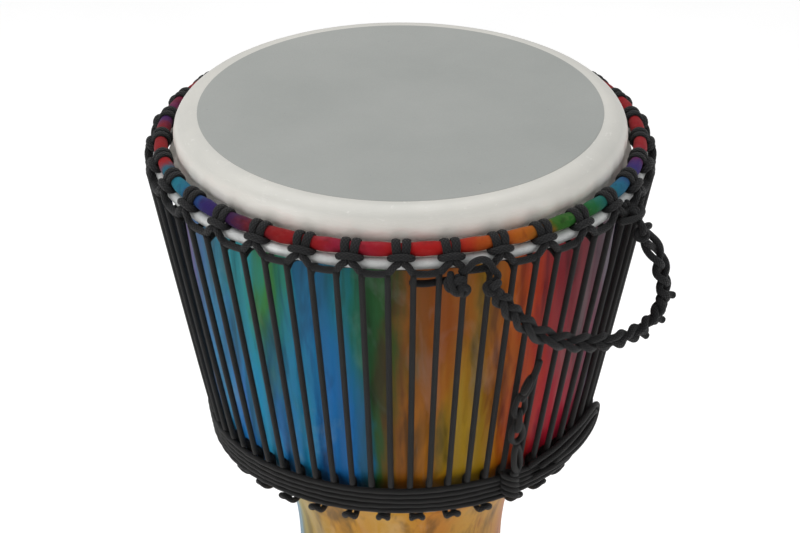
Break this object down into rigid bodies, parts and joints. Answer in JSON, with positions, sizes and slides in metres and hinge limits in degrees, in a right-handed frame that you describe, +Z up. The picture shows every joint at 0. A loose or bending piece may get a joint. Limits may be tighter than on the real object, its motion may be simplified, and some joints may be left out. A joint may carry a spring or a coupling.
{
  "type": "rope-tuned djembe",
  "caption": "Goblet-shaped hand drum with a film head on rope-laced rings, a waist wrap with a chained tail and a plaited carrying handle.",
  "frame": {"origin": "centre of the foot's underside, on the floor", "axes": "+Z up the drum's axis to the playing face; -Y is the front; +X is to the right seen from the front"},
  "size_m": [0.3494, 0.347, 0.6],
  "materials": {
    "shell_lacquer": "glossy clear-coated fibreglass with a tie-dye print",
    "foot_rubber": "matt moulded rubber",
    "head_film": "milky translucent satin film",
    "head_ply": "matt fibre-textured playing surface",
    "ring_steel": "plain drawn bar",
    "crown_cloth": "tie-dyed cotton strip, colours change round the ring",
    "cradle_rope": "braided black polyester, slight sheen",
    "lacing_rope": "braided black low-stretch polyester, slight sheen"
  },
  "bodies": {
    "drum": {"shell": "shell_lacquer", "foot_ring": "foot_rubber", "drumhead": "head_film", "head_centre_ply": "head_ply", "drumhead_skirt": "head_film", "bottom_ring": "ring_steel", "bottom_hitches": "cradle_rope", "bottom_links": "cradle_rope", "lacing": "lacing_rope", "wrap_turn_1": "lacing_rope", "wrap_turn_2": "lacing_rope", "wrap_turn_3": "lacing_rope", "wrap_turn_4": "lacing_rope", "wrap_turn_5": "lacing_rope", "wrap_knot": "lacing_rope", "tail_chain": "lacing_rope"},
    "tuning_rings": {"crown_ring": "ring_steel", "crown_ring_cloth": "crown_cloth", "flesh_ring": "ring_steel", "flesh_ring_cover": "head_film", "top_hitches": "cradle_rope", "top_links": "cradle_rope", "cradle_knot": "cradle_rope", "cradle_tail": "cradle_rope", "handle_tie_front": "cradle_rope", "handle_tie_side": "cradle_rope"},
    "handle": {"handle_plait": "cradle_rope", "handle_knot_front": "cradle_rope", "handle_knot_side": "cradle_rope"}
  },
  "joints": [
    {"name": "tuning_slide", "type": "slide", "parent": "drum", "child": "tuning_rings", "axis": [0, 0, 1], "range_m": [-0.006, 0], "deforming": ["lacing", "drumhead_skirt"]},
    {"name": "handle_swing", "type": "hinge", "parent": "tuning_rings", "child": "handle", "pos_m": [0.05519, -0.16986, 0.5535], "axis": [-0.7688, -0.6394, 0], "range_deg": [0, 120]}
  ]
}
